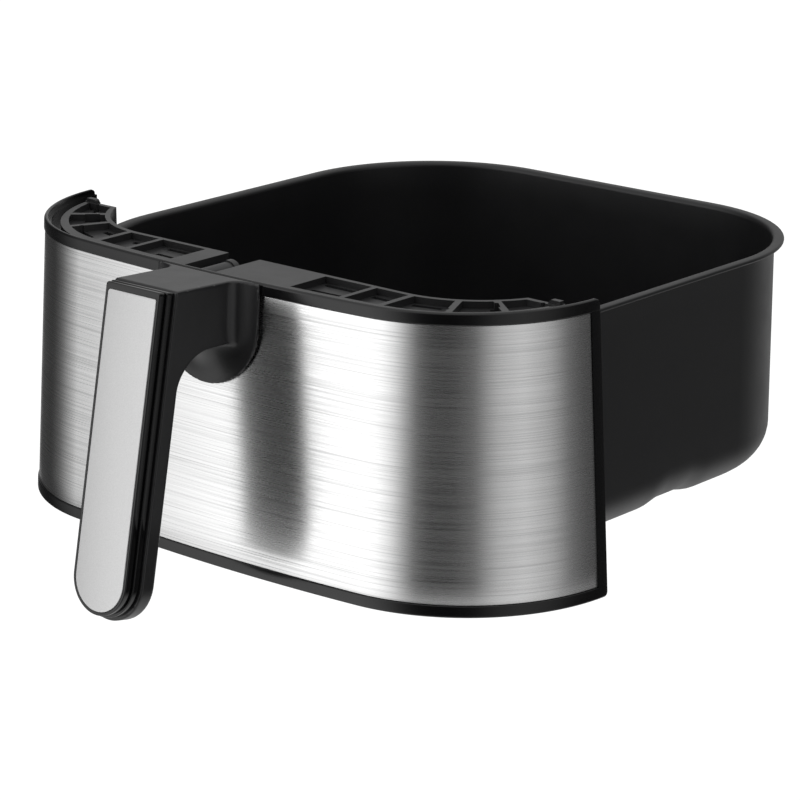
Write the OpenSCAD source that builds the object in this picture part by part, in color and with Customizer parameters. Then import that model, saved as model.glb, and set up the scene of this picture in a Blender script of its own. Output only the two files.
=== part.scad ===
// Air fryer drawer: a nonstick pan with a wrap-round front panel and a hanging grip.
// Millimetres. Z is up, -Y is the front, and the panel and grip face -Y.
// The working frame has z = 0 on top of the pan's rim and x = 0 on the middle plane.
// Every sub-part is then lifted so that the lowest point of the grip is at z = 0.

/* [View] */
// Sub-part to draw

/* [Pan] */
// Width over the rim
pan_w = 270; // [240:0.1:300]
// Depth over the rim
pan_d = 275.9; // [240:0.1:310]
// Height from base to rim
pan_h = 108.8; // [90:0.1:130]
// Corner radius of the rim
pan_corner = 78.2; // [50:0.1:90]
// Width of the outward rim flange
flange = 4.5; // [3:0.1:8]
// Sheet thickness
sheet = 1.2; // [0.8:0.1:2]
// Outer radius between wall and base
base_r = 19.7; // [10:0.1:30]
// Depth of the stamped channel across the base
channel_depth = 2.2; // [1:0.1:4]
// Width of the channel across the base
channel_w = 32; // [20:1:60]
// Distance of the channel behind the middle
channel_y = 16; // [0:1:40]

/* [Front panel] */
// Top of the panel above the rim
lip_z = 13; // [8:0.1:20]
// Height of the panel
panel_h = 131; // [110:0.5:140]
// Front face of the panel at the top, on the middle plane
panel_y = -154.3; // [-165:0.1:-145]
// Plan radius of the shallow front curve
front_r = 955.582; // [700:0.001:1200]
// Plan radius of the wrap-round corners at the top
corner_r = 73.8; // [65:0.1:80]
// Distance of the corner centres from the middle plane
corner_x = 79.2; // [70:0.1:90]
// Where the panel's two ends stop
end_y = -78; // [-90:0.1:-77.5]
// Outward lean of the panel from top to bottom
lean = 7.2; // [0:0.1:12]
// Wall thickness at the bands
shell_t = 3.4; // [2.5:0.1:5]
// Height of the top and bottom bands
band = 5.3; // [3:0.1:10]
// Width of the upright bands at the panel's ends
end_band = 5.5; // [3:0.1:10]
// How far the steel sits below the bands
skin_inset = 0.55; // [0.2:0.05:1.5]
// Thickness of the steel skin
skin_t = 0.6; // [0.4:0.05:1]

/* [Top carrier] */
// Top of the ribbed deck above the rim
deck_z = 10.45; // [8:0.05:12]
// Thickness of the deck
deck_t = 4.2; // [3:0.1:6]
// Depth of the pockets
pocket = 3.1; // [2:0.1:3.5]
// Rear edge of the deck
deck_rear = -117.5; // [-125:0.1:-110]
// Middle of the catch notch
notch_x = -14.6; // [-20:0.1:0]
// Width of the catch notch
notch_w = 19; // [14:0.1:24]

/* [Handle] */
// Half width of the arm and the grip's back
arm_hw = 18.65; // [15:0.05:22]
// Lean of the grip from vertical
grip_a = 11.03; // [5:0.01:15]
// Front face of the grip at the top of the inlay
face_y = -200.7; // [-210:0.1:-190]
// Length of the grip down to the middle of its round end
grip_len = 123.1; // [100:0.1:140]
// Thickness of the grip behind its front face
grip_t = 15.4; // [12:0.1:18]
// Rounding of the grip's rear edge
grip_r = 2; // [0.5:0.1:4]
// Half width of the bright inlay
inlay_hw = 14.42; // [12:0.01:16]
// Half width of the bezel round the inlay
bezel_hw = 16; // [14:0.05:18]
// Half width of the layer behind the bezel
liner_hw = 17.05; // [15:0.05:18.5]
// Radius of the round foot of the arm on the panel
boss_r = 30.5; // [25:0.1:36]

/* [Crisper plate] */
// Gap between plate and pan wall
plate_gap = 2.6; // [1.5:0.1:5]
// Height of the plate above the pan's floor
plate_lift = 16; // [10:0.5:20]

/* [Hidden] */
$fn = 96;
// Pan
hw = pan_w / 2;
hd = pan_d / 2;
ccx = hw - pan_corner;
ccy = hd - pan_corner;
wall_r = pan_corner - flange;
// Panel plan
front_cy = panel_y + front_r;
corner_y = front_cy - sqrt((front_r - corner_r) * (front_r - corner_r) - corner_x * corner_x);
seam = [corner_x * 1.25, front_cy + (corner_y - front_cy) * 1.25];
panel_bot = lip_z - panel_h;
slope = lean / panel_h;
lean_a = atan(slope);
// Deck plan
rear_cx = 80;
rear_cy = deck_rear + 49.1;
// Grip
back_d = 7.4;
inlay_z = 12.7;
handle_screw_at = [[-13, -9], [13, -9], [0, -20]];
grip_screw_at = [-52, -104];
brace_screw_x = 32;
brace_screw_z = -73;
// Frame: middle of the whole drawer's length and its lowest point
front_most = face_y - (grip_len + bezel_hw) * sin(grip_a);
shift_y = -(hd + front_most) / 2;
shift_z = (grip_len + arm_hw - grip_r) * cos(grip_a) + (grip_t - grip_r) * sin(grip_a) + grip_r - inlay_z;

module placed() {
  translate([0, shift_y, shift_z]) children();
}

// ---- pan ----

// Half section of a rounded-square bowl corner, from the corner axis outward
module bowl_2d(r, bottom, fillet) {
  difference() {
    translate([0, bottom]) square([r, -bottom + 1]);
    translate([r - fillet, bottom]) difference() {
      square([fillet + 1, fillet]);
      translate([0, fillet]) circle(fillet);
    }
  }
}

// Solid with the plan of the pan: round corners, straight sides
module rounded_plan(cx, cy) {
  for (q = [[1, -1, -90], [1, 1, 0], [-1, 1, 90], [-1, -1, 180]])
    translate([q[0] * cx, q[1] * cy, 0]) rotate([0, 0, q[2]])
      rotate_extrude(angle = 90) children();
  for (s = [0, 1]) {
    rotate([0, 0, 180 * s]) translate([cx, cy, 0]) rotate([90, 0, 0])
      linear_extrude(2 * cy) children();
    rotate([0, 0, 180 * s]) translate([-cx, cy, 0]) rotate([90, 0, 90])
      linear_extrude(2 * cx) children();
  }
}

module bowl(r, bottom, fillet, top) {
  intersection() {
    union() {
      rounded_plan(ccx, ccy) bowl_2d(r, bottom, fillet);
      translate([-ccx, -ccy, bottom]) cube([2 * ccx, 2 * ccy, 1 - bottom]);
    }
    translate([-200, -200, bottom - 1]) cube([400, 400, top - bottom + 1]);
  }
}

// Space under the raised channel: everything below the lifted base profile
module channel_cut(x, bottom, fillet, w) {
  translate([0, channel_y + w / 2, 0]) rotate([90, 0, 0]) linear_extrude(w) difference() {
    translate([-x - 2, bottom - 2]) square([2 * x + 4, fillet * 0.72]);
    translate([-x + fillet - 0.05, bottom + channel_depth]) square([2 * (x - fillet) + 0.1, 60]);
    translate([-x - 0.05, bottom + channel_depth + fillet]) square([2 * x + 0.1, 60]);
    for (s = [-1, 1])
      translate([s * (x - fillet + 0.05), bottom + channel_depth + fillet]) circle(fillet);
  }
}

module pan_sheet() {
  difference() {
    bowl(wall_r, -pan_h, base_r, -sheet);
    channel_cut(hw - flange, -pan_h, base_r, channel_w);
    difference() {
      bowl(wall_r - sheet, -pan_h + sheet, base_r - sheet, 1);
      channel_cut(hw - flange - sheet, -pan_h + sheet, base_r - sheet, channel_w + 2 * sheet);
    }
  }
  // rim flange
  rounded_plan(ccx, ccy) translate([wall_r - sheet, -sheet]) square([flange + sheet, sheet]);
  rounded_plan(ccx, ccy) translate([pan_corner - 0.9, -2]) square([0.9, 1.2]);
}

// Flat middle of the base, inside the fillet
module base_zone() {
  translate([0, 0, -pan_h - 5]) {
    rounded_plan(ccx, ccy) square([wall_r - base_r - 2, 12]);
    translate([-ccx, -ccy, 0]) cube([2 * ccx, 2 * ccy, 12]);
  }
}

module pan() {
  color([0.07, 0.07, 0.075]) placed() difference() {
    pan_sheet();
    base_zone();
  }
}

module pan_floor() {
  color([0.07, 0.07, 0.075]) placed() intersection() {
    pan_sheet();
    base_zone();
  }
}

// ---- brackets between pan and panel ----

module hanger_bracket() {
  color([0.62, 0.63, 0.65]) placed() difference() {
    union() {
      translate([-55, -hd + flange - 1.6, -48]) cube([110, 1.5, 44]);
      translate([-55, -146, -5.5]) cube([110, 146 - hd + flange - 0.1, 1.5]);
    }
    for (x = [-42, 42], z = [-40, -14])
      translate([x, -hd + flange - 0.05, z]) rotate([90, 0, 0]) cylinder(h = 2, r = 2.1);
    for (x = [-40, 40]) translate([x, -141.6, -6]) cylinder(h = 3, r = 1.8);
  }
}

module bracket_studs() {
  color([0.7, 0.7, 0.72]) placed()
    for (x = [-42, 42], z = [-40, -14]) translate([x, -hd + flange - 0.02, z]) rotate([90, 0, 0]) {
      cylinder(h = 2.2, r = 2);
      translate([0, 0, 1.65]) cylinder(h = 1.3, r1 = 3.6, r2 = 2.4);
    }
}

module brace_holes(r, y0, h) {
  for (x = [-brace_screw_x, brace_screw_x])
    translate([x, y0, brace_screw_z]) rotate([90, 0, 0]) cylinder(h = h, r = r);
}

module lower_brace() {
  color([0.62, 0.63, 0.65]) placed() difference() {
    union() {
      translate([-45, -hd + flange - 1.6, -84]) cube([90, 1.5, 22]);
      translate([-45, -153.6, -84]) cube([90, 153.6 - hd + flange - 0.1, 1.5]);
      translate([-45, -153.6, -84]) cube([90, 1.5, 20]);
    }
    brace_holes(1.8, -150, 9);
  }
}

module brace_screws() {
  color([0.7, 0.7, 0.72]) placed() {
    brace_holes(3.3, -150.25, 1.8);
    brace_holes(1.6, -152, 4.3);
  }
}

// ---- front panel ----

// Runs a section, given as distance beyond the top edge and height, round the panel's plan.
// The shallow front curve and the two corners meet on the line through their centres.
module panel_ring(stop_y = end_y) {
  intersection() {
    union() {
      intersection() {
        translate([0, front_cy, 0]) rotate_extrude($fn = 256) translate([front_r, 0]) children();
        translate([0, 0, -150]) linear_extrude(200) polygon([[0, front_cy], [-seam[0], seam[1]], seam]);
      }
      for (m = [0, 1]) mirror([m, 0, 0]) intersection() {
        translate([corner_x, corner_y, 0]) rotate_extrude() translate([corner_r, 0]) children();
        translate([0, 0, -150]) linear_extrude(200)
          polygon([[0, front_cy], seam, [400, seam[1]], [400, front_cy]]);
      }
    }
    translate([-200, -200, -150]) cube([400, 200 + stop_y, 200]);
  }
}

function out(z) = (lip_z - z) * slope;

// Section slab between two insets and two heights, leaning with the panel
module slab(in0, in1, z0, z1) {
  polygon([[out(z0) - in0, z0], [out(z1) - in0, z1], [out(z1) - in1, z1], [out(z0) - in1, z0]]);
}

module shell_section() {
  slab(0, 2, lip_z - 2.6, lip_z);
  slab(0, shell_t, panel_bot, lip_z - 2.5);
  // shelf under the deck and return along the bottom
  slab(shell_t - 0.5, 8.4, 4.2, 6.1);
  slab(shell_t - 0.5, 8, panel_bot, panel_bot + 2);
}

// Frame whose y = 0 plane is the panel's front face on the middle plane
module on_panel() {
  translate([0, panel_y, lip_z]) rotate([-lean_a, 0, 0]) translate([0, 0, -lip_z]) children();
}

module handle_holes(r) {
  for (p = handle_screw_at)
    on_panel() translate([p[0], 8, p[1]]) rotate([90, 0, 0]) cylinder(h = 9.5, r = r);
}

module front_shell() {
  color([0.06, 0.06, 0.065]) placed() difference() {
    union() {
      panel_ring() shell_section();
      // pads that take the brace screws
      brace_holes(4.5, -153.7, 2.8);
    }
    // recess for the steel
    panel_ring(end_y - end_band) slab(-2, skin_inset + skin_t + 0.15, panel_bot + band, lip_z - band);
    handle_holes(2.3);
    brace_holes(1.65, -153, 3.4);
    // room in the shelf for the tongue's spring
    translate([notch_x - 6, -150.9, 3]) cube([12, 8.3, 3.15]);
  }
}

module steel_skin() {
  color([0.72, 0.72, 0.73]) placed() difference() {
    panel_ring(end_y - end_band - 0.15) slab(skin_inset, skin_inset + skin_t, panel_bot + band + 0.15, lip_z - band - 0.15);
    handle_holes(2.3);
  }
}

// ---- ribbed carrier that joins pan, panel and handle ----

// Plan of the panel's top edge moved inward
module inset_2d(o) {
  intersection() {
    translate([0, front_cy]) circle(front_r - o, $fn = 256);
    polygon([[0, front_cy], [-seam[0], seam[1]], seam]);
    translate([-120, -200]) square([240, 130]);
  }
  for (s = [-1, 1]) translate([s * corner_x, corner_y]) circle(corner_r - o);
}

// Space behind the deck, moved forward by o
module behind_2d(o) {
  translate([-rear_cx, deck_rear - o]) square([2 * rear_cx, 140]);
  for (s = [-1, 1]) translate([s * rear_cx, rear_cy]) circle(49.1 + o);
}

module deck_2d() {
  difference() {
    intersection() {
      union() {
        intersection() {
          inset_2d(5.4);
          translate([-corner_x, -160]) square([2 * corner_x, 60]);
        }
        for (s = [-1, 1]) translate([s * (corner_x - 3), corner_y]) circle(68.4);
      }
      translate([-160, -160]) square([320, 70]);
    }
    behind_2d(0);
    translate([notch_x - notch_w / 2, -145.5]) square([notch_w, 40]);
  }
}

module bar_2d(a, b, w) {
  d = b - a;
  translate(a) rotate(atan2(d[1], d[0])) translate([-8, -w / 2]) square([norm(d) + 16, w]);
}

module pockets_2d() {
  difference() {
    intersection() {
      inset_2d(11.2);
      translate([-160, -160]) square([320, 67.5]);
    }
    behind_2d(2.35);
    translate([-36.2, -160]) square([72.4, 60]);
    for (m = [0, 1]) mirror([m, 0]) {
      translate([63, -160]) square([2.6, 60]);
      translate([83.4, -160]) square([3, 60]);
      bar_2d([105.65, -113.45], [113.4, -129.25], 3);
      bar_2d([118.3, -103.1], [130.4, -112.55], 3.2);
    }
  }
}

module slot_2d(a, b, w) {
  d = b - a;
  translate(a) rotate(atan2(d[1], d[0])) translate([-w / 3, -w / 2]) square([norm(d) + w / 1.5, w]);
}

module slots_2d() {
  for (m = [0, 1]) mirror([m, 0]) {
    slot_2d([39.5, -122.5], [56, -122.5], 2.8);
    slot_2d([67.6, -123.9], [77, -123.9], 2.8);
    slot_2d([89, -122.6], [100.6, -119.4], 2.8);
    slot_2d([40, -132.4], [54.5, -131.7], 2.2);
    slot_2d([69, -136], [79, -135.2], 2.2);
    slot_2d([99.5, -129.6], [110, -125.8], 2);
    slot_2d([119.6, -106.6], [123, -109.8], 3.6);
    slot_2d([132.4, -95.4], [134.6, -92.9], 2.6);
  }
}

module top_carrier() {
  color([0.08, 0.08, 0.085]) placed() difference() {
    union() {
      translate([0, 0, deck_z - deck_t]) linear_extrude(deck_t) deck_2d();
      // skirt along the rear edge, standing over the pan's rim
      translate([0, 0, 0.4]) linear_extrude(deck_z - deck_t) intersection() {
        deck_2d();
        behind_2d(2.35);
      }
      // screw posts
      for (x = [-40, 40]) translate([x, -141.6, -3.9]) cylinder(h = deck_z - deck_t + 4, r = 3.1);
      // lugs for the catch pivot
      for (s = [-1, 1]) translate([notch_x + s * 8.6 - 2.4, -145.3, 0.6]) cube([4.8, 7, deck_z - deck_t]);
      // nub at each end of the deck that steps over the panel's ledge
      for (m = [0, 1]) mirror([m, 0, 0]) translate([136, -91.5, deck_z - deck_t]) {
        cube([7.4, 2.6, deck_t + 0.4]);
        translate([2, 2.6, deck_t + 0.2]) rotate([90, 0, 0]) cylinder(h = 2.6, r = 1.6);
        translate([2, 0, deck_t - 0.4]) cube([4.4, 2.6, 2.2]);
      }
    }
    translate([0, 0, deck_z - pocket]) linear_extrude(6) pockets_2d();
    translate([0, 0, 0]) linear_extrude(12) slots_2d();
    for (x = [-40, 40]) translate([x, -141.6, -5]) cylinder(h = 9, r = 1.45);
    translate([notch_x - 12, -142, 3.6]) rotate([0, 90, 0]) cylinder(h = 24, r = 1.52);
  }
}

module carrier_screws() {
  color([0.7, 0.7, 0.72]) placed() for (x = [-40, 40]) translate([x, -141.6, -5.6]) {
    translate([0, 0, -2]) cylinder(h = 2, r = 3.2);
    cylinder(h = 9, r = 1.4);
  }
}

// ---- sprung locking tongue ----

module lock_tongue() {
  color([0.08, 0.08, 0.085]) placed() difference() {
    union() {
      translate([notch_x, -125, 0]) rotate([90, 0, 0]) linear_extrude(19.5) difference() {
        union() {
          translate([0, 4.9]) circle(5);
          translate([-5, 3]) square([10, 1.9]);
        }
        translate([-6, -3]) square([12, 5.2]);
      }
      // raised nose
      translate([notch_x, -125, 0]) rotate([90, 0, 0]) linear_extrude(3) intersection() {
        translate([0, 4.9]) circle(5.6);
        translate([-6, 4.9]) square([12, 8]);
      }
      // hub and tail
      translate([notch_x - 5, -142, 3.6]) rotate([0, 90, 0]) cylinder(h = 10, r = 3);
      translate([notch_x - 4, -149.4, -1.2]) cube([8, 7.8, 2.2]);
      translate([notch_x - 4, -143.4, -1.2]) cube([8, 2.8, 5]);
    }
    translate([notch_x - 6, -142, 3.6]) rotate([0, 90, 0]) cylinder(h = 12, r = 1.56);
  }
}

module lock_pin() {
  color([0.75, 0.75, 0.76]) placed()
    translate([notch_x - 10.6, -142, 3.6]) rotate([0, 90, 0]) cylinder(h = 21.2, r = 1.5);
}

module lock_spring() {
  color([0.75, 0.75, 0.76]) placed() translate([notch_x, -147.3, 1.05]) difference() {
    cylinder(h = deck_z - deck_t - 1.1, r = 1.9);
    translate([0, 0, -1]) cylinder(h = 9, r = 1.35);
  }
}

// ---- handle ----

// Frame on the grip's face: x across, y backward through the grip, z up along it
module on_grip() {
  translate([0, face_y, inlay_z]) rotate([-grip_a, 0, 0]) children();
}

// Round-ended plate between two depths behind the face
module grip_plate(w, top, d0, d1) {
  translate([0, d1, 0]) rotate([90, 0, 0]) linear_extrude(d1 - d0) {
    translate([0, -grip_len]) circle(w);
    translate([-w, -grip_len]) square([2 * w, grip_len + top]);
  }
}

// Foot that flares from the arm to the panel: axis radius first, distance from the panel second
module foot_2d() {
  difference() {
    translate([0, 0.7]) square([boss_r, 22]);
    translate([boss_r + 1, 24]) circle(22.5);
  }
}

// Half section of the grip's back, with a rounded rear edge
module back_2d() {
  translate([0, back_d]) square([arm_hw, grip_t - grip_r - back_d]);
  translate([0, back_d]) square([arm_hw - grip_r, grip_t - back_d]);
  translate([arm_hw - grip_r, grip_t - grip_r]) circle(grip_r);
}

module handle_core() {
  color([0.08, 0.08, 0.085]) placed() difference() {
    union() {
      difference() {
        union() {
          // arm, a hair narrower than the grip so that no two faces coincide
          translate([-arm_hw + 0.05, 0, 0]) rotate([90, 0, 90]) linear_extrude(2 * arm_hw - 0.1)
            polygon([[panel_y - 0.7, lip_z], [-192.25, 14.8], [-201.36, -32], [-194.69, -33.3], [-178.2, -29],
              [-164, -29], [-159, -26], [panel_y - 2.9, -26]]);
          // back of the grip
          on_grip() translate([0, 0, -grip_len]) {
            rotate([-90, 0, 0]) rotate_extrude(angle = 180) back_2d();
            for (m = [0, 1]) mirror([m, 0, 0]) linear_extrude(grip_len + 3.2) back_2d();
          }
        }
        // round arch under the arm
        translate([-50, 0, 0]) rotate([90, 0, 90]) linear_extrude(100) {
          translate([-178.4, -29.2]) circle(15.2);
          translate([-178.4, -31]) square([25, 17]);
        }
      }
      // foot
      on_panel() intersection() {
        union() {
          translate([0, 0, -5.3]) rotate([90, 0, 0]) rotate([0, 0, 180]) rotate_extrude(angle = 180) foot_2d();
          for (m = [0, 1]) mirror([m, 0, 0]) translate([0, 0, -5.3]) linear_extrude(18.2) mirror([0, 1]) foot_2d();
        }
        translate([-40, -40, -50]) cube([80, 39.3, 62.9]);
      }
    }
    // blind holes for the screws from behind the panel
    for (p = handle_screw_at)
      on_panel() translate([p[0], -0.6, p[1]]) rotate([90, 0, 0]) cylinder(h = 5.8, r = 1.75);
    // sunk holes for the screws that hold the grip's front layers
    grip_holes(1.75, back_d - 1, grip_t + 1);
    grip_holes(3.2, grip_t - 2.2, grip_t + 1);
  }
}

// Round bars through the grip between two depths behind its face
module grip_holes(r, d0, d1) {
  on_grip() for (w = grip_screw_at) translate([0, d1, w]) rotate([90, 0, 0]) cylinder(h = d1 - d0, r = r);
}

module gasket_2d(top) {
  intersection() {
    union() {
      translate([0, -5.3]) circle(boss_r - 1.2);
      translate([-boss_r + 1.2, -5.3]) square([2 * boss_r - 2.4, 40]);
    }
    translate([-40, top - 60]) square([80, 60]);
  }
}

module handle_gasket() {
  color([0.03, 0.03, 0.03]) placed() difference() {
    on_panel() {
      translate([0, -0.1, 0]) rotate([90, 0, 0]) linear_extrude(0.55) gasket_2d(12.1);
      // thicker part that fills the sunk steel below the top band
      translate([0, 0.48, 0]) rotate([90, 0, 0]) linear_extrude(0.6) gasket_2d(7.4);
    }
    handle_holes(2.3);
  }
}

module handle_plate() {
  color([0.62, 0.63, 0.65]) placed() difference() {
    on_panel() translate([-22, 3.75, -27]) cube([44, 2, 24]);
    handle_holes(2.05);
  }
}

module handle_screws() {
  color([0.7, 0.7, 0.72]) placed() for (p = handle_screw_at)
    on_panel() translate([p[0], 5.8, p[1]]) rotate([90, 0, 0]) {
      translate([0, 0, -2.2]) cylinder(h = 2.2, r = 3.4);
      cylinder(h = 11.7, r = 1.7);
    }
}

module grip_liner() {
  color([0.02, 0.02, 0.02]) placed() on_grip() difference() {
    grip_plate(liner_hw, 3.2, 3.65, back_d - 0.05);
    for (w = grip_screw_at) translate([0, 9, w]) rotate([90, 0, 0]) cylinder(h = 4.4, r = 1.65);
  }
}

module grip_bezel() {
  color([0.02, 0.02, 0.02]) placed() on_grip() difference() {
    grip_plate(bezel_hw, 2.9, 0, 3.6);
    grip_plate(inlay_hw + 0.08, 0.08, -1, 1.5);
  }
}

module grip_inlay() {
  color([0.8, 0.8, 0.81]) placed() on_grip() grip_plate(inlay_hw, 0, -0.12, 1.45);
}

module grip_screws() {
  color([0.7, 0.7, 0.72]) placed() {
    grip_holes(3, grip_t - 2.15, grip_t - 0.4);
    grip_holes(1.6, 4.8, grip_t - 2.1);
  }
}

// ---- crisper plate ----

pl_r = wall_r - sheet - plate_gap;
pl_z = -pan_h + sheet + plate_lift;

module crisper_plate() {
  color([0.07, 0.07, 0.075]) placed() difference() {
    union() {
      translate([0, 0, pl_z]) {
        rounded_plan(ccx, ccy) square([pl_r, 1.2]);
        translate([-ccx, -ccy, 0]) cube([2 * ccx, 2 * ccy, 1.2]);
        // turned-down edge
        rounded_plan(ccx, ccy) translate([pl_r - 1.2, -4]) square([1.2, 4.6]);
      }
      // feet
      for (x = [-78, 78], y = [-78, 78]) translate([x, y, -pan_h + sheet + 0.1]) cylinder(h = plate_lift, r1 = 5, r2 = 7);
    }
    // finger hole
    translate([0, 0, pl_z - 1]) cylinder(h = 4, r = 12);
    // vent holes in rings round the finger hole
    for (ring = [[28, 8], [46, 14], [64, 20], [84, 26], [104, 32]])
      for (k = [0 : ring[1] - 1])
        rotate([0, 0, (k + 0.5) * 360 / ring[1]]) translate([ring[0], 0, pl_z - 1]) cylinder(h = 4, r = 3, $fn = 32);
    // seats for the bumpers
    for (k = [0 : 3]) bumper_at(k) translate([-8.1, -4, -5]) cube([16.2, 6, 7]);
  }
}

// Places a bumper at the middle of one side of the plate
module bumper_at(k) {
  side = [hd, hw, hd, hw][k] - flange - sheet - plate_gap;
  rotate([0, 0, 90 * k]) translate([0, side, pl_z]) children();
}

module bumper(k) {
  color([0.1, 0.1, 0.1]) placed() bumper_at(k) translate([-8, 0, 0]) rotate([90, 0, 90]) linear_extrude(16)
    polygon([[-3.9, -3.4], [0.3, -3.4], [1.9, 0.6], [1.9, 2.6], [-3.9, 2.6]]);
}

module crisper_bumper_1() { bumper(0); }
module crisper_bumper_2() { bumper(1); }
module crisper_bumper_3() { bumper(2); }
module crisper_bumper_4() { bumper(3); }

pan();
pan_floor();
hanger_bracket();
bracket_studs();
lower_brace();
brace_screws();
front_shell();
steel_skin();
top_carrier();
carrier_screws();
lock_tongue();
lock_pin();
lock_spring();
handle_core();
handle_gasket();
handle_plate();
handle_screws();
grip_liner();
grip_bezel();
grip_inlay();
grip_screws();
crisper_plate();
crisper_bumper_1();
crisper_bumper_2();
crisper_bumper_3();
crisper_bumper_4();
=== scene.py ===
import math

import bmesh
import bpy
import numpy as np
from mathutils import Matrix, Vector


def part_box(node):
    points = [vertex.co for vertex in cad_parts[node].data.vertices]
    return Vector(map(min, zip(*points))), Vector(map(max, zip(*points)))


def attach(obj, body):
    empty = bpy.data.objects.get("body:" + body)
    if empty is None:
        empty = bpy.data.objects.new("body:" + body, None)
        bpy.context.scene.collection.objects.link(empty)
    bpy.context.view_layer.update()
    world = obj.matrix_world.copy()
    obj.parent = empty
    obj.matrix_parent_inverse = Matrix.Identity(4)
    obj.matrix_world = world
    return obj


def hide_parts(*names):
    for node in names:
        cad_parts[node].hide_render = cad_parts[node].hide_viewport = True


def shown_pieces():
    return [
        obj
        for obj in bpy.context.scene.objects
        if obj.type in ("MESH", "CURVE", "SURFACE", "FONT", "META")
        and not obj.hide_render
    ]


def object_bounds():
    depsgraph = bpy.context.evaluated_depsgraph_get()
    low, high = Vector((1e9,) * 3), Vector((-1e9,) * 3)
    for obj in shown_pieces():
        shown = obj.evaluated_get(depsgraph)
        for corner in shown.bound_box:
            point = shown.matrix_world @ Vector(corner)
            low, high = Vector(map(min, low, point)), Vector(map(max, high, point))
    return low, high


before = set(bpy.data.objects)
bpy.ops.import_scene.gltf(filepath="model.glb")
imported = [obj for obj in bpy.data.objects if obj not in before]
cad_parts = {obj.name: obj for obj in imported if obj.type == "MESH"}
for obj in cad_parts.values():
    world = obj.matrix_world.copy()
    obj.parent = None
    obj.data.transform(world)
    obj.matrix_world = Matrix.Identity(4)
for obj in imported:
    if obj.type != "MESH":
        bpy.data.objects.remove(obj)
cad_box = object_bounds()

MM = 0.001
PAN_LOW, PAN_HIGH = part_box("pan")
# The drawings below use the working frame of the drawer: millimetres, z = 0 on the pan's rim,
# y = 0 in the middle of the pan. SHIFT brings that frame to the row frame.
SHIFT = Vector(((PAN_LOW.x + PAN_HIGH.x) / 2, (PAN_LOW.y + PAN_HIGH.y) / 2, PAN_HIGH.z)) / MM

# ---------------------------------------------------------------- sizes (mm)
PAN_W = (PAN_HIGH.x - PAN_LOW.x) / MM
PAN_D = (PAN_HIGH.y - PAN_LOW.y) / MM
PAN_H = (PAN_HIGH.z - PAN_LOW.z) / MM
PAN_CORNER = 78.2
FLANGE = 4.5
SHEET = 1.2
BASE_R = 19.7
CHANNEL_Y = 16.0
CHANNEL_FLOOR = 7.5
CHANNEL_SLOPE = 14.0
CHANNEL_DEPTH = 2.2
# faces along a short side, a long side and a corner of the pan
SIDE_X, SIDE_Y, CORNER = 14, 64, 22

LIP_Z = 13.0
PANEL_H = 131.0
PANEL_Y = -154.3
FRONT_R = 955.582
CORNER_R = 73.8
CORNER_X = 79.2
END_Y = -78.0
END_BAND = 5.5
BAND = 5.3
LEAN = 7.2
SHELL_T = 3.4
SKIN_INSET = 0.55
SKIN_T = 0.6
FRONT_CY = PANEL_Y + FRONT_R
CORNER_Y = FRONT_CY - math.sqrt((FRONT_R - CORNER_R) ** 2 - CORNER_X ** 2)
SEAM_ANGLE = math.atan2(CORNER_X, FRONT_CY - CORNER_Y)
# share of each half of the panel that the shallow front arc takes up
SEAM_S = 0.36
PANEL_BOTTOM = LIP_Z - PANEL_H

ARM_HW = 18.65
GRIP_A = math.radians(11.03)
FACE_Y = -200.7
INLAY_Z = 12.7
GRIP_LEN = 123.1
GRIP_T = 15.4
BACK_D = 7.4
INLAY_HW = 14.42
BEZEL_HW = 16.0
LINER_HW = 17.05
FOOT_R = 30.5
FOOT_Z = -5.3
ARCH_R = 15.2
ARCH_TOP = -14.0
ARM_FALL = 0.0495
FLARE_R = 22.5
# from the panel's face to the back of the handle
BACK_GAP = 0.65


def to_row(points):
    """Working frame in mm to row frame in metres."""
    return (np.asarray(points, float) + np.array(SHIFT)) * MM


def smooth_step(lo, hi, v):
    t = np.clip((np.asarray(v, float) - lo) / (hi - lo), 0.0, 1.0)
    return t * t * (3.0 - 2.0 * t)


# ---------------------------------------------------------------- meshes
def make_piece(name, points, faces, body="drawer", smooth_angle=35.0):
    """Closed mesh from points in the working frame, with faces turned outward."""
    mesh = bpy.data.meshes.new(name)
    mesh.from_pydata([tuple(p) for p in to_row(points)], [], [tuple(f) for f in faces])
    work = bmesh.new()
    work.from_mesh(mesh)
    bmesh.ops.remove_doubles(work, verts=work.verts, dist=2e-6)
    bmesh.ops.dissolve_degenerate(work, edges=work.edges, dist=1e-6)
    bmesh.ops.recalc_face_normals(work, faces=work.faces)
    work.to_mesh(mesh)
    work.free()
    mesh.shade_smooth()
    mesh.set_sharp_from_angle(angle=math.radians(smooth_angle))
    piece = bpy.data.objects.new(name, mesh)
    bpy.context.scene.collection.objects.link(piece)
    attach(piece, body)
    return piece


def grid_faces(rows, cols, wrap_rows=False, wrap_cols=False):
    """Quads of a grid of points stored row by row."""
    faces = []
    for i in range(rows if wrap_rows else rows - 1):
        for j in range(cols if wrap_cols else cols - 1):
            a = i * cols + j
            b = i * cols + (j + 1) % cols
            c = ((i + 1) % rows) * cols + (j + 1) % cols
            d = ((i + 1) % rows) * cols + j
            faces.append((a, b, c, d))
    return faces


def sweep_faces(rows, cols):
    """Faces of a closed section of cols points swept through rows stations, closed at both ends."""
    faces = grid_faces(rows, cols, wrap_cols=True)
    faces.append(tuple(range(cols)))
    faces.append(tuple(range((rows - 1) * cols, rows * cols)))
    return faces


def arc(cx, cy, r, a0, a1, steps):
    """Points of an arc, angles in degrees."""
    return [(cx + r * math.cos(math.radians(a)), cy + r * math.sin(math.radians(a)))
            for a in np.linspace(a0, a1, steps + 1)]


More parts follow.
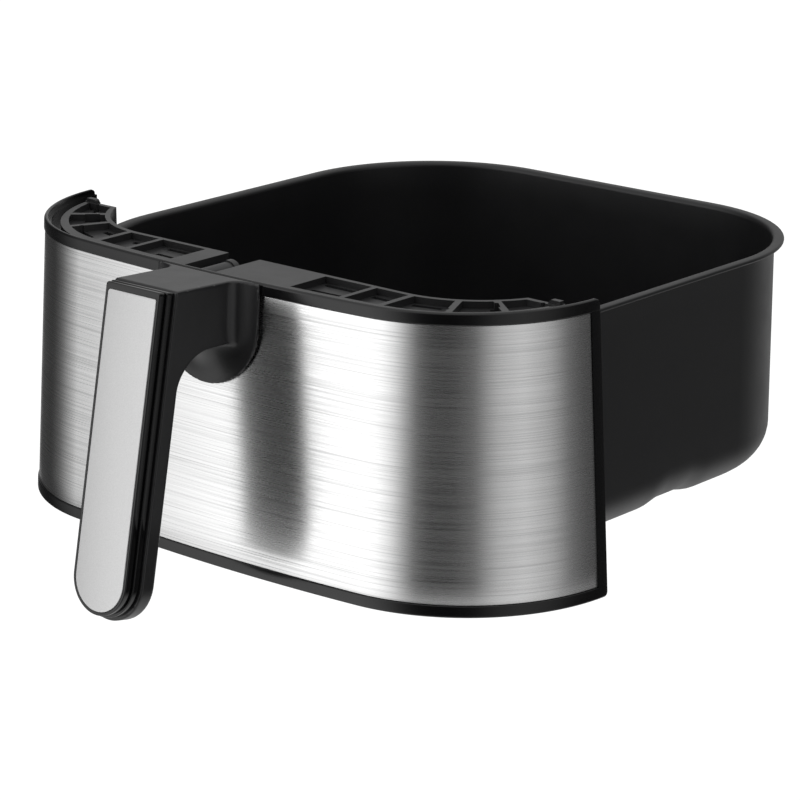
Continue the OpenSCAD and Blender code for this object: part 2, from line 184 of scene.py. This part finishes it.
# ---- pan ----
def pan_plan(r):
    """Closed plan of the pan at a distance r from the corner axes, counter-clockwise."""
    cx = PAN_W / 2 - PAN_CORNER
    cy = PAN_D / 2 - PAN_CORNER
    corners = ((1, -1, -90, SIDE_Y), (1, 1, 0, SIDE_X), (-1, 1, 90, SIDE_Y), (-1, -1, 180, SIDE_X))
    pts = []
    for qx, qy, start, count in corners:
        pts += arc(qx * cx, qy * cy, r, start, start + 90, CORNER)
        ax, ay = pts[-1]
        bx = -ax if count == SIDE_X else ax
        by = -ay if count == SIDE_Y else ay
        pts += [(ax + (bx - ax) * k / count, ay + (by - ay) * k / count) for k in range(1, count)]
    return pts


def channel(y):
    """Share of the channel's depth at a distance y from the middle of the pan."""
    away = np.abs(np.asarray(y) - CHANNEL_Y)
    return 1.0 - smooth_step(CHANNEL_FLOOR, CHANNEL_FLOOR + CHANNEL_SLOPE, away)


def pan_profile():
    """Half sections of the sheet, outside up to the rim and inside down again: (r, z)."""
    wall = PAN_CORNER - FLANGE
    base = -PAN_H
    levels = (-75.0, -60.0, -45.0, -30.0, -15.0)
    outer = [(wall - BASE_R, base)] + arc(wall - BASE_R, base + BASE_R, BASE_R, -90, 0, 12)[1:]
    outer += [(wall, z) for z in levels]
    # fillet under the flange, then the rolled edge
    outer += arc(wall + 1.6, -SHEET - 1.6, 1.6, 180, 90, 5)
    bead = 1.0
    outer += arc(PAN_CORNER - bead, -bead, bead, -140, 90, 10)
    inner_wall = wall - SHEET
    inner = arc(inner_wall + 2.2, -2.2, 2.2, 90, 180, 6)
    inner += [(inner_wall, z) for z in reversed(levels)]
    inner_r = BASE_R - SHEET
    inner += arc(inner_wall - inner_r, base + SHEET + inner_r, inner_r, 0, -90, 12)
    return outer, inner


def build_pan():
    outer, inner = pan_profile()
    rings = (0.0, 14.0, 28.0, 42.0)
    radii = [(r, -PAN_H) for r in rings] + outer + inner
    radii += [(r, -PAN_H + SHEET) for r in reversed(rings)]
    points = [(x, y, z) for r, z in radii for x, y in pan_plan(r)]
    loop = 2 * (SIDE_X + SIDE_Y + 2 * CORNER)
    faces = grid_faces(len(radii), loop, wrap_cols=True)
    # flat middle of the base, outside and inside
    cx = PAN_W / 2 - PAN_CORNER
    cy = PAN_D / 2 - PAN_CORNER
    for z in (-PAN_H, -PAN_H + SHEET):
        start = len(points)
        points += [(x, y, z) for y in np.linspace(-cy, cy, SIDE_Y + 1)
                   for x in np.linspace(-cx, cx, SIDE_X + 1)]
        faces += [tuple(start + k for k in f) for f in grid_faces(SIDE_Y + 1, SIDE_X + 1)]
    pts = np.array(points)
    low = 1.0 - smooth_step(-PAN_H + BASE_R, -55.0, pts[:, 2])
    pts[:, 2] += CHANNEL_DEPTH * channel(pts[:, 1]) * low
    piece = make_piece("pan_body", pts, faces, smooth_angle=50)
    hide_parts("pan", "pan_floor")
    return piece


# ---- front panel ----
def out(z):
    """How far the leaning panel stands beyond its top edge at height z."""
    return (LIP_Z - z) * LEAN / PANEL_H


def panel_point(s, r_extra, z, end_y=END_Y):
    """Point on the panel: s from -1 (left end) to 1 (right end), r_extra beyond the plan at the top."""
    side = 1.0 if s >= 0 else -1.0
    s = abs(s)
    if s <= SEAM_S:
        a = SEAM_ANGLE * s / SEAM_S
        r = FRONT_R + r_extra
        return side * r * math.sin(a), FRONT_CY - r * math.cos(a), z
    r = CORNER_R + r_extra
    last = math.acos((CORNER_Y - end_y) / r)
    a = SEAM_ANGLE + (last - SEAM_ANGLE) * (s - SEAM_S) / (1.0 - SEAM_S)
    return side * (CORNER_X + r * math.sin(a)), CORNER_Y - r * math.cos(a), z


def half_stations(front, corner):
    """Stations of the right half: numbers of steps on the front arc and round the corner."""
    return list(np.linspace(0.0, SEAM_S, front + 1)) + list(np.linspace(SEAM_S, 1.0, corner + 1)[1:])


def both_halves(half):
    """Stations from the left end to the right end."""
    return [-s for s in reversed(half) if s > 0] + half


def shell_profile():
    """Closed section of the moulded panel as (inset, z, in the recess for the steel)."""
    top, bottom = LIP_Z, PANEL_BOTTOM
    lip, edge = 2.0, 0.4
    shelf_in, foot_in = 8.4, 8.0
    recess = SKIN_INSET + SKIN_T + 0.15
    pts = []
    # up the bottom band, round its edge into the recess
    pts += [(p[0], p[1], False) for p in arc(1.0, bottom + 1.0, 1.0, 270, 180, 5)]
    pts += [(p[0], p[1], False) for p in arc(edge, bottom + BAND - edge, edge, 180, 90, 4)]
    pts += [(recess, bottom + BAND, True)]
    pts += [(recess, z, True) for z in np.linspace(bottom + BAND, top - BAND, 9)[1:]]
    pts += [(p[0], p[1], False) for p in arc(edge, top - BAND + edge, edge, 270, 180, 4)]
    # rounded lip
    pts += [(p[0], p[1], False) for p in arc(1.25, top - 1.25, 1.25, 180, 90, 6)]
    pts += [(p[0], p[1], False) for p in arc(lip - 0.5, top - 0.5, 0.5, 90, 0, 4)]
    pts += [(lip, top - 2.6, False), (SHELL_T, top - 2.6, False)]
    # inner face with the shelf under the deck and the return along the bottom
    pts += [(SHELL_T, 6.1, False), (shelf_in, 6.1, False), (shelf_in, 4.2, False), (SHELL_T, 4.2, False)]
    pts += [(SHELL_T, z, False) for z in np.linspace(0.0, bottom + 2.0, 8)]
    pts += [(foot_in, bottom + 2.0, False), (foot_in, bottom, False)]
    return pts


def corner_clip(s, z, length):
    """Lowers the top and lifts the bottom near the panel's ends, which rounds the corners."""
    radius = 2.6
    left = (1.0 - abs(s)) * length
    if left >= radius:
        return z
    drop = radius - math.sqrt(max(radius ** 2 - (radius - left) ** 2, 0.0))
    return min(max(z, PANEL_BOTTOM + drop), LIP_Z - drop)


def build_shell():
    profile = shell_profile()
    corner_length = CORNER_R * (math.pi / 2 - SEAM_ANGLE) / (1.0 - SEAM_S)
    near = [1.0 - d / corner_length for d in (2.4, 1.9, 1.3, 0.8, 0.4, 0.15)]
    band_start = 1.0 - END_BAND / corner_length
    edges = {band_start, band_start + 0.0012}
    stations = both_halves(sorted(set(half_stations(16, 56)) | set(near) | edges))
    points = []
    for s in stations:
        solid = abs(s) > band_start
        for inset, z, recess in profile:
            inset = 0.0 if recess and solid else inset
            z = corner_clip(s, z, corner_length)
            points.append(panel_point(s, out(z) - inset, z))
    faces = sweep_faces(len(stations), len(profile))
    piece = make_piece("panel_moulding", points, faces, smooth_angle=40)
    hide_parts("front_shell")
    return piece


def build_skin():
    """Steel sheet with its edges turned in a little."""
    low, high = PANEL_BOTTOM + BAND + 0.15, LIP_Z - BAND - 0.15
    edge = 0.25
    section = [(SKIN_INSET + edge, low), (SKIN_INSET + 0.07, low + 0.08), (SKIN_INSET, low + edge)]
    section += [(SKIN_INSET, z) for z in np.linspace(low + edge, high - edge, 13)[1:]]
    section += [(SKIN_INSET + 0.07, high - 0.08), (SKIN_INSET + edge, high)]
    section += [(SKIN_INSET + SKIN_T, high), (SKIN_INSET + SKIN_T, low)]
    stations = both_halves(half_stations(40, 120))
    end_y = END_Y - END_BAND - 0.15
    points = [panel_point(s, out(z) - inset, z, end_y) for s in stations for inset, z in section]
    faces = sweep_faces(len(stations), len(section))
    piece = make_piece("steel_sheet", points, faces, smooth_angle=50)
    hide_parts("steel_skin")
    return piece


# ---- handle ----
def round_union(a, b, r):
    """Union of two distance fields with a fillet of radius r."""
    u = np.maximum(r - a, 0.0)
    v = np.maximum(r - b, 0.0)
    return np.maximum(r, np.minimum(a, b)) - np.sqrt(u * u + v * v)


def round_cut(a, b, r):
    """Intersection of two distance fields with a rounded edge of radius r."""
    return -round_union(-a, -b, r)


def grip_frame(y, z):
    """Depth behind the grip's face and height along it."""
    dy, dz = y - FACE_Y, z - INLAY_Z
    return dy * math.cos(GRIP_A) - dz * math.sin(GRIP_A), dy * math.sin(GRIP_A) + dz * math.cos(GRIP_A)


def handle_field(x, y, z):
    """Signed distance, near the surface, of the moulding of arm, foot and grip back."""
    d, w = grip_frame(y, z)
    x = np.abs(x)
    top = z - (LIP_Z - (y - PANEL_Y) * ARM_FALL)
    ahead = np.sqrt(x * x + (y - FRONT_CY) ** 2) - FRONT_R - out(z)
    # side outline: leaning grip and level arm with the round arch between them
    grip = np.maximum(BACK_D - d, d - GRIP_T)
    arm = np.maximum(ARCH_TOP - z, BACK_D - d)
    outline = np.maximum(round_union(grip, arm, ARCH_R), BACK_D - d)
    outline = np.maximum(outline, BACK_GAP - ahead)
    # round lower end and flat sides
    below = np.minimum(w + GRIP_LEN, 0.0)
    side = np.sqrt(x * x + below * below) - ARM_HW
    soft = 0.7 + 1.3 * smooth_step(9.0, 13.0, d) * smooth_step(-18.0, -40.0, w)
    core = round_cut(outline, side, soft)
    # foot: thin at its rim, flaring up to the arm
    under = np.minimum(z - FOOT_Z, 0.0)
    rho = np.sqrt(x * x + under * under)
    flare = np.clip(FOOT_R + 1.0 - rho, 0.0, FLARE_R - 0.1)
    height = FLARE_R + 1.5 - np.sqrt(FLARE_R ** 2 - flare ** 2)
    steep = np.minimum(flare, FLARE_R - 1.0)
    slope = np.sqrt(1.0 + (flare / np.sqrt(FLARE_R ** 2 - steep ** 2)) ** 2)
    foot = round_cut((ahead - height) / slope, rho - FOOT_R, 0.7)
    body = np.maximum(round_union(core, foot, 2.6), BACK_GAP - ahead)
    return round_cut(body, top, 0.9)


def surface_net(field, low, high, step):
    """Quad mesh of field = 0 on a grid, with its points pulled on to the surface."""
    axes = [np.arange(lo, hi + step, step) for lo, hi in zip(low, high)]
    grid = np.stack(np.meshgrid(*axes, indexing="ij"))
    value = field(*grid)
    inside = value < 0
    shape = tuple(n - 1 for n in inside.shape)
    count = np.zeros(shape, int)
    for i in (0, 1):
        for j in (0, 1):
            for k in (0, 1):
                count += inside[i:i + shape[0], j:j + shape[1], k:k + shape[2]]
    cells = (count > 0) & (count < 8)
    index = -np.ones(shape, int)
    index[cells] = np.arange(cells.sum())
    where = np.argwhere(cells)
    points = np.stack([axes[a][where[:, a]] + step / 2 for a in range(3)], axis=1)
    probe = 0.02
    for _ in range(6):
        here = field(*points.T)
        slope = np.stack([(field(*(points + h).T) - here) / probe for h in np.eye(3) * probe], axis=1)
        move = -here[:, None] * slope / np.maximum((slope ** 2).sum(1), 0.05)[:, None]
        points += np.clip(move, -step * 0.5, step * 0.5)
    faces = []
    for axis in range(3):
        b, c = (axis + 1) % 3, (axis + 2) % 3
        first = [slice(None)] * 3
        second = [slice(None)] * 3
        first[axis], second[axis] = slice(0, -1), slice(1, None)
        change = np.argwhere(inside[tuple(first)] != inside[tuple(second)])
        change = change[(change[:, b] > 0) & (change[:, c] > 0)]
        for at in change:
            quad = []
            for db, dc in ((0, 0), (-1, 0), (-1, -1), (0, -1)):
                cell = at.copy()
                cell[b] += db
                cell[c] += dc
                quad.append(index[tuple(cell)])
            faces.append(quad)
    return points, faces


def build_handle():
    low = (-FOOT_R - 2.2, -230.0, -133.0)
    high = (FOOT_R + 2.2, -150.0, 18.0)
    step = 0.8
    points, faces = surface_net(handle_field, low, high, step)
    piece = make_piece("handle_moulding", points, faces, smooth_angle=60)
    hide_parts("handle_core")
    return piece


def grip_outline(hw, top, corner):
    """Outline of a grip layer as (x, w): two small corners at the top, a round end below."""
    pts = arc(hw - corner, top - corner, corner, 0, 90, 5)
    pts += arc(-hw + corner, top - corner, corner, 90, 180, 5)
    pts += arc(0.0, -GRIP_LEN, hw, 180, 360, 56)
    return pts


def on_grip(x, d, w):
    """Point in the working frame from x across, d behind the face and w along it."""
    return (x, FACE_Y + d * math.cos(GRIP_A) + w * math.sin(GRIP_A),
            INLAY_Z - d * math.sin(GRIP_A) + w * math.cos(GRIP_A))


def grip_layer(name, sections, node):
    """Layer of the grip from outlines (half width, top, corner, depth), closed at both ends."""
    points = []
    for hw, top, corner, depth in sections:
        points += [on_grip(x, depth, w) for x, w in grip_outline(hw, top, corner)]
    faces = sweep_faces(len(sections), len(points) // len(sections))
    piece = make_piece(name, points, faces, smooth_angle=30)
    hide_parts(node)
    return piece


def rounded_plate(hw, top, corner, front, back, r_front, r_back, steps=5):
    """Sections of a plate with rounded front and back edges."""
    sections = []
    for a in np.linspace(math.pi / 2, 0, steps + 1):
        inset = r_front - r_front * math.cos(a)
        sections.append((hw - inset, top - inset, corner, front + r_front - r_front * math.sin(a)))
    for a in np.linspace(0, math.pi / 2, steps + 1):
        inset = r_back - r_back * math.cos(a)
        sections.append((hw - inset, top - inset, corner, back - r_back + r_back * math.sin(a)))
    return sections


def build_grip():
    grip_layer("grip_middle", rounded_plate(LINER_HW, 3.2, 1.0, 3.65, BACK_D - 0.05, 0.45, 0.2),
               "grip_liner")
    pocket = [(INLAY_HW + gap, gap, 1.2, depth)
              for gap, depth in ((0.07, 1.5), (0.07, 0.2), (0.15, 0.06), (0.3, 0.0))]
    grip_layer("grip_frame", pocket + rounded_plate(BEZEL_HW, 2.9, 1.4, 0.0, 3.6, 0.5, 0.25),
               "grip_bezel")
    grip_layer("grip_plate", rounded_plate(INLAY_HW, 0.0, 1.2, -0.1, 1.45, 0.35, 0.1),
               "grip_inlay")


# ---- small parts ----
def build_spring():
    low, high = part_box("lock_spring")
    centre = (low + high) / 2 / MM - SHIFT
    height = (high.z - low.z) / MM
    radius = (high.x - low.x) / 2 / MM
    wire = 0.24
    turns, per_turn, ring = 4.5, 28, 8
    steps = int(turns * per_turn)
    points = []
    for i in range(steps + 1):
        t = i / steps
        a = 2 * math.pi * turns * t
        # the coil lies flatter towards both ends
        rise = float(smooth_step(-0.12, 1.12, t) - 0.03) / 0.94
        z = centre.z - height / 2 + wire + (height - 2 * wire) * rise
        z = min(max(z, centre.z - height / 2 + wire), centre.z + height / 2 - wire)
        for k in range(ring):
            b = 2 * math.pi * k / ring
            r = radius - wire + wire * math.cos(b)
            points.append((centre.x + r * math.cos(a), centre.y + r * math.sin(a), z + wire * math.sin(b)))
    faces = sweep_faces(steps + 1, ring)
    piece = make_piece("lock_coil", points, faces)
    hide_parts("lock_spring")


def soften(node, width, angle=40):
    """Rounds the edges of a CAD node."""
    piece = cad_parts[node]
    bevel = piece.modifiers.new("edge", "BEVEL")
    bevel.width = width * MM
    bevel.segments = 2
    bevel.limit_method = "ANGLE"
    bevel.angle_limit = math.radians(angle)
    bevel.use_clamp_overlap = True
    bevel.harden_normals = False


# ---------------------------------------------------------------- materials
def new_material(name):
    material = bpy.data.materials.new(name)
    material.use_nodes = True
    nodes = material.node_tree.nodes
    return material, nodes, material.node_tree.links, nodes["Principled BSDF"]


def noise(nodes, links, scale, stretch=(1, 1, 1), detail=3.0, roughness=0.5):
    """Noise over the object's own coordinates, in metres, stretched by axis."""
    coords = nodes.new("ShaderNodeTexCoord")
    mapping = nodes.new("ShaderNodeMapping")
    mapping.inputs["Scale"].default_value = stretch
    texture = nodes.new("ShaderNodeTexNoise")
    texture.inputs["Scale"].default_value = scale
    texture.inputs["Detail"].default_value = detail
    texture.inputs["Roughness"].default_value = roughness
    links.new(coords.outputs["Object"], mapping.inputs["Vector"])
    links.new(mapping.outputs["Vector"], texture.inputs["Vector"])
    return texture.outputs["Fac"]


def ramp(nodes, links, value, stops):
    """Colour ramp with (position, grey or colour) stops."""
    node = nodes.new("ShaderNodeValToRGB")
    elements = node.color_ramp.elements
    while len(elements) < len(stops):
        elements.new(0.5)
    for element, (position, colour) in zip(elements, stops):
        colour = (colour,) * 3 if isinstance(colour, (int, float)) else colour
        element.position = position
        element.color = (*colour, 1.0)
    links.new(value, node.inputs["Fac"])
    return node.outputs["Color"]


def add_bump(nodes, links, shader, height, strength, distance):
    bump = nodes.new("ShaderNodeBump")
    bump.inputs["Strength"].default_value = strength
    bump.inputs["Distance"].default_value = distance
    links.new(height, bump.inputs["Height"])
    links.new(bump.outputs["Normal"], shader.inputs["Normal"])


def plastic(name, colour, rough, grain, bump):
    """Moulded plastic: a fine grain, and slight changes of tone and gloss."""
    material, nodes, links, shader = new_material(name)
    tone = noise(nodes, links, 35.0, detail=4.0)
    low = tuple(c * 0.86 for c in colour)
    high = tuple(c * 1.14 for c in colour)
    links.new(ramp(nodes, links, tone, [(0.3, low), (0.7, high)]), shader.inputs["Base Color"])
    gloss = noise(nodes, links, 90.0, detail=5.0, roughness=0.6)
    links.new(ramp(nodes, links, gloss, [(0.3, rough * 0.92), (0.7, rough * 1.08)]),
              shader.inputs["Roughness"])
    if bump:
        add_bump(nodes, links, shader, noise(nodes, links, grain, detail=2.0), bump, 0.00005)
    return material


def steel_material():
    """Steel brushed along the panel: level hairlines of different lengths."""
    material, nodes, links, shader = new_material("brushed_steel_sheet")
    shader.inputs["Metallic"].default_value = 1.0
    shader.inputs["Anisotropic"].default_value = 0.9
    shader.inputs["Anisotropic Rotation"].default_value = 0.25
    tangent = nodes.new("ShaderNodeTangent")
    tangent.direction_type = "RADIAL"
    tangent.axis = "Z"
    links.new(tangent.outputs["Tangent"], shader.inputs["Tangent"])
    fine = noise(nodes, links, 1.0, (7, 7, 1700), detail=6.0, roughness=0.7)
    links.new(ramp(nodes, links, fine, [(0.3, 0.6), (0.5, 0.86), (0.7, 0.97)]), shader.inputs["Base Color"])
    links.new(ramp(nodes, links, fine, [(0.3, 0.33), (0.7, 0.2)]), shader.inputs["Roughness"])
    coarse = noise(nodes, links, 1.0, (9, 9, 1100), detail=5.0, roughness=0.7)
    add_bump(nodes, links, shader, coarse, 0.12, 0.00003)
    return material


def sheet_metal(name, colour, rough):
    """Plated bracket sheet with a faint spangle."""
    material, nodes, links, shader = new_material(name)
    shader.inputs["Metallic"].default_value = 1.0
    patches = noise(nodes, links, 160.0, detail=3.0)
    links.new(ramp(nodes, links, patches, [(0.35, tuple(c * 0.85 for c in colour)), (0.65, colour)]),
              shader.inputs["Base Color"])
    links.new(ramp(nodes, links, patches, [(0.3, rough * 0.85), (0.7, rough * 1.15)]),
              shader.inputs["Roughness"])
    add_bump(nodes, links, shader, noise(nodes, links, 900.0), 0.15, 0.00004)
    return material


def coating_material():
    """Nonstick coating: satin black with a very fine spray texture and a few pale specks."""
    material, nodes, links, shader = new_material("nonstick_coating")
    specks = noise(nodes, links, 2600.0, detail=1.0)
    stops = [(0.0, (0.010, 0.010, 0.011)), (0.7, (0.013, 0.013, 0.014)), (0.78, (0.05, 0.05, 0.052))]
    links.new(ramp(nodes, links, specks, stops), shader.inputs["Base Color"])
    cloud = noise(nodes, links, 60.0, detail=5.0, roughness=0.6)
    links.new(ramp(nodes, links, cloud, [(0.3, 0.36), (0.7, 0.42)]), shader.inputs["Roughness"])
    add_bump(nodes, links, shader, noise(nodes, links, 1500.0, detail=3.0), 0.25, 0.00004)
    return material


def inlay_material():
    """Satin metal paint with a hint of flake."""
    material, nodes, links, shader = new_material("satin_inlay")
    shader.inputs["Metallic"].default_value = 0.9
    shader.inputs["Roughness"].default_value = 0.42
    flake = noise(nodes, links, 1800.0, detail=2.0)
    links.new(ramp(nodes, links, flake, [(0.3, 0.64), (0.7, 0.7)]), shader.inputs["Base Color"])
    add_bump(nodes, links, shader, flake, 0.08, 0.00003)
    return material


def paint(piece, material):
    piece.data.materials.clear()
    piece.data.materials.append(material)


def paint_all():
    black_panel = plastic("panel_black", (0.006, 0.006, 0.0065), 0.2, 1500.0, 0.05)
    black_deck = plastic("deck_black", (0.03, 0.03, 0.031), 0.34, 1400.0, 0.25)
    black_handle = plastic("handle_black", (0.022, 0.022, 0.023), 0.3, 1400.0, 0.2)
    gloss = plastic("grip_gloss_black", (0.004, 0.004, 0.0045), 0.07, 1500.0, 0.0)
    rubber = plastic("seal_rubber", (0.012, 0.012, 0.012), 0.75, 1100.0, 0.4)
    silicone = plastic("bumper_silicone", (0.02, 0.02, 0.021), 0.6, 900.0, 0.3)
    bracket = sheet_metal("plated_sheet", (0.6, 0.61, 0.63), 0.35)
    screw = sheet_metal("plated_screw", (0.66, 0.66, 0.68), 0.25)
    coating = coating_material()
    looks = {
        "pan_body": coating, "crisper_plate": coating,
        "panel_moulding": black_panel, "steel_sheet": steel_material(),
        "top_carrier": black_deck, "lock_tongue": black_deck,
        "handle_moulding": black_handle, "handle_gasket": rubber,
        "grip_middle": gloss, "grip_frame": gloss, "grip_plate": inlay_material(),
        "hanger_bracket": bracket, "lower_brace": bracket, "handle_plate": bracket,
        "bracket_studs": screw, "brace_screws": screw, "carrier_screws": screw,
        "handle_screws": screw, "grip_screws": screw, "lock_pin": screw, "lock_coil": screw,
    }
    for k in range(1, 5):
        looks[f"crisper_bumper_{k}"] = silicone
    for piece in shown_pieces():
        paint(piece, looks[piece.name])


# ---------------------------------------------------------------- studio
# brightness of the background and the floor as the camera sees them
SEEN_WHITE = 1.1


def build_floor():
    size = 12.0
    mesh = bpy.data.meshes.new("floor")
    corners = [(-size, -size, 0), (size, -size, 0), (size, size, 0), (-size, size, 0)]
    mesh.from_pydata(corners, [], [(0, 1, 2, 3)])
    floor = bpy.data.objects.new("floor", mesh)
    bpy.context.scene.collection.objects.link(floor)
    floor.location.z = cad_box[0].z - 0.0004
    material, nodes, links, shader = new_material("white_floor")
    shader.inputs["Base Color"].default_value = (0.6, 0.6, 0.6, 1)
    shader.inputs["Roughness"].default_value = 1.0
    shader.inputs["Specular IOR Level"].default_value = 0.0
    # the camera sees it fully lit, as an overexposed studio floor
    lit = nodes.new("ShaderNodeEmission")
    lit.inputs["Strength"].default_value = SEEN_WHITE
    path = nodes.new("ShaderNodeLightPath")
    choose = nodes.new("ShaderNodeMixShader")
    links.new(path.outputs["Is Camera Ray"], choose.inputs[0])
    links.new(shader.outputs["BSDF"], choose.inputs[1])
    links.new(lit.outputs["Emission"], choose.inputs[2])
    links.new(choose.outputs["Shader"], nodes["Material Output"].inputs["Surface"])
    mesh.materials.append(material)
    # glossy reflections show the world in place of the floor
    floor.visible_glossy = False


# Light walls round the drawer: (degrees from the front towards the right, brightness)
LIGHT_WALLS = [
    (-180, 0.5), (-128, 0.45), (-116, 0.06), (-88, 0.03), (-75, 0.12), (-58, 0.55), (-48, 1.0),
    (-40, 1.3), (-35, 1.35), (-29, 1.42), (-17, 1.22), (-8, 0.85), (0, 0.38), (8, 0.08),
    (18, 0.01), (32, 0.01), (46, 0.08), (62, 0.45), (78, 0.6), (96, 0.4), (110, 0.13),
    (124, 0.05), (140, 0.06), (160, 0.3), (180, 0.5),
]


def build_world():
    """Studio: upright soft light walls of different brightness, a bright top and a bright ground."""
    world = bpy.data.worlds.new("studio")
    world.use_nodes = True
    bpy.context.scene.world = world
    nodes, links = world.node_tree.nodes, world.node_tree.links
    nodes.clear()

    def feed(socket, value):
        if isinstance(value, (int, float)):
            socket.default_value = value
        else:
            links.new(value, socket)

    def math_node(operation, a, b):
        node = nodes.new("ShaderNodeMath")
        node.operation = operation
        feed(node.inputs[0], a)
        feed(node.inputs[1], b)
        return node.outputs[0]

    def fade(value, lo, hi):
        node = nodes.new("ShaderNodeMapRange")
        node.interpolation_type = "SMOOTHSTEP"
        node.inputs["From Min"].default_value = lo
        node.inputs["From Max"].default_value = hi
        links.new(value, node.inputs["Value"])
        return node.outputs["Result"]

    def mix(a, b, factor):
        node = nodes.new("ShaderNodeMix")
        node.data_type = "FLOAT"
        feed(node.inputs[2], a)
        feed(node.inputs[3], b)
        feed(node.inputs[0], factor)
        return node.outputs[0]

    coords = nodes.new("ShaderNodeTexCoord")
    split = nodes.new("ShaderNodeSeparateXYZ")
    links.new(coords.outputs["Generated"], split.inputs["Vector"])
    x, y, z = split.outputs
    turn = math_node("ARCTAN2", x, math_node("MULTIPLY", y, -1.0))
    share = math_node("ADD", math_node("DIVIDE", turn, 2 * math.pi), 0.5)
    brightest, top, ground = 1.8, 0.85, 0.8
    walls = ramp(nodes, links, share, [((a + 180) / 360, v / brightest) for a, v in LIGHT_WALLS])
    level = mix(walls, top / brightest, fade(z, 0.5, 0.85))
    level = mix(level, ground / brightest, math_node("SUBTRACT", 1.0, fade(z, -0.75, -0.5)))
    path = nodes.new("ShaderNodeLightPath")
    level = mix(level, SEEN_WHITE / brightest, path.outputs["Is Camera Ray"])
    background = nodes.new("ShaderNodeBackground")
    links.new(level, background.inputs["Color"])
    background.inputs["Strength"].default_value = brightest
    output = nodes.new("ShaderNodeOutputWorld")
    links.new(background.outputs["Background"], output.inputs["Surface"])


def build_camera():
    """Long lens, 41 degrees round to the right and 17 degrees up."""
    azimuth, elevation = math.radians(41.093), math.radians(16.957)
    distance = 1486.28
    target = Vector((0.03, -29.63, -73.29))
    level = math.cos(elevation)
    back = Vector((math.sin(azimuth) * level, -math.cos(azimuth) * level, math.sin(elevation)))
    camera = bpy.data.objects.new("camera", bpy.data.cameras.new("camera"))
    bpy.context.scene.collection.objects.link(camera)
    camera.data.sensor_width = 36.0
    camera.data.lens = 143.34
    camera.data.clip_start = 0.05
    camera.data.clip_end = 60.0
    camera.location = (target + back * distance + SHIFT) * MM
    camera.rotation_mode = "QUATERNION"
    camera.rotation_quaternion = back.to_track_quat("Z", "Y")
    bpy.context.scene.camera = camera


build_camera()
build_pan()
build_shell()
build_skin()
build_handle()
build_grip()
build_spring()
soften("top_carrier", 0.3)
soften("lock_tongue", 0.3)
paint_all()
build_world()
build_floor()
bpy.context.scene.view_settings.view_transform = "Standard"
